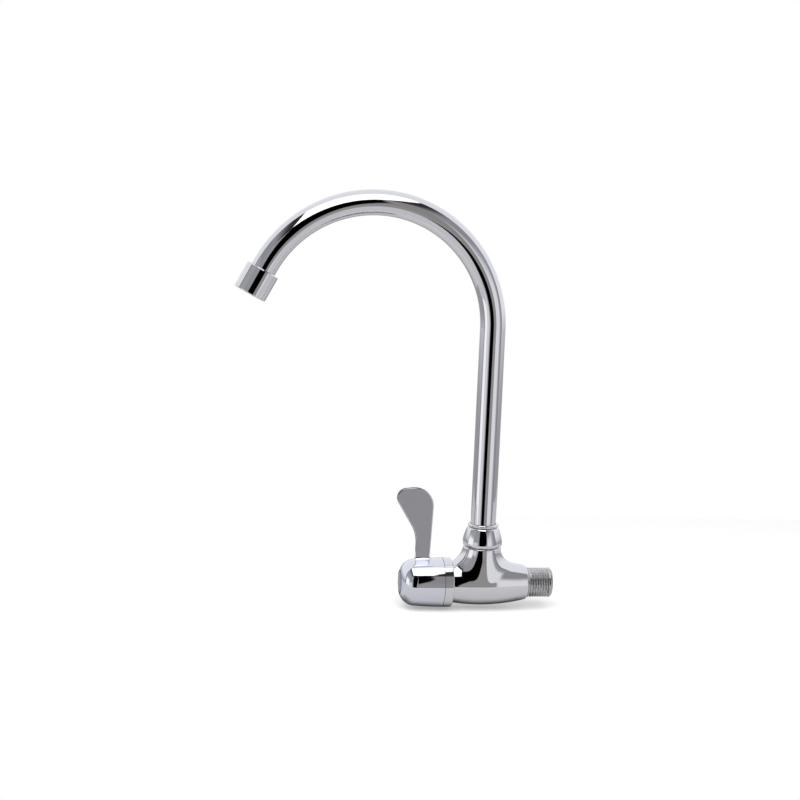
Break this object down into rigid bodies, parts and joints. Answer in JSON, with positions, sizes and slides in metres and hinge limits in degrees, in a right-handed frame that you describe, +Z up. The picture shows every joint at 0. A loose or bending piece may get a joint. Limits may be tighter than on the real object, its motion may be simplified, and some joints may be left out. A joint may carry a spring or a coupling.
{
  "type": "wall tap with swivel gooseneck spout",
  "caption": "Single-inlet wall-mounted kitchen tap with a barrel body, quarter-turn paddle lever and a swivelling gooseneck spout with aerator.",
  "frame": {"origin": "on the barrel's axis, where the wall thread meets the shoulder of the barrel", "axes": "+X along the barrel out of the wall thread, -X towards the handle, +Z up along the spout's straight limb, so the spout reaches over -X at rest"},
  "size_m": [0.2326, 0.035, 0.2945],
  "materials": {
    "polished_chrome": "mirror-polished chromium plate on brass",
    "turned_brass": "turned",
    "stainless_steel": "plain",
    "black_rubber": "moulded",
    "fixed_disc_ceramic": "lapped",
    "moving_disc_ceramic": "lapped",
    "low_friction_plastic": "plain",
    "aerator_plastic": "moulded",
    "index_cap": "gloss, silvered"
  },
  "bodies": {
    "tap": {"tap_body": "polished_chrome", "shroud_ring": "polished_chrome", "headwork_body": "turned_brass", "headwork_gasket": "black_rubber", "fixed_ceramic_disc": "fixed_disc_ceramic", "seat_seal": "black_rubber", "thrust_washer": "low_friction_plastic", "swivel_nut": "polished_chrome", "slip_washer": "low_friction_plastic", "spout_retaining_ring": "turned_brass"},
    "handle": {"lever_handle": "polished_chrome", "handle_screw": "stainless_steel", "index_button": "index_cap", "spindle": "turned_brass", "spindle_o_rings": "black_rubber", "spindle_circlip": "stainless_steel", "moving_ceramic_disc": "moving_disc_ceramic"},
    "spout": {"spout_tube": "polished_chrome", "spout_tail": "turned_brass", "spout_o_rings": "black_rubber", "outlet_nipple": "turned_brass", "aerator_housing": "polished_chrome", "aerator_washer": "black_rubber", "aerator_insert": "aerator_plastic", "aerator_screen": "stainless_steel"}
  },
  "joints": [
    {"name": "handle_turn", "type": "hinge", "parent": "tap", "child": "handle", "pos_m": [-0.0765, 0, 0], "axis": [-1, 0, 0], "range_deg": [0, 90]},
    {"name": "spout_swivel", "type": "hinge", "parent": "tap", "child": "spout", "pos_m": [-0.033, 0, 0.03], "axis": [0, 0, 1], "continuous": true}
  ]
}
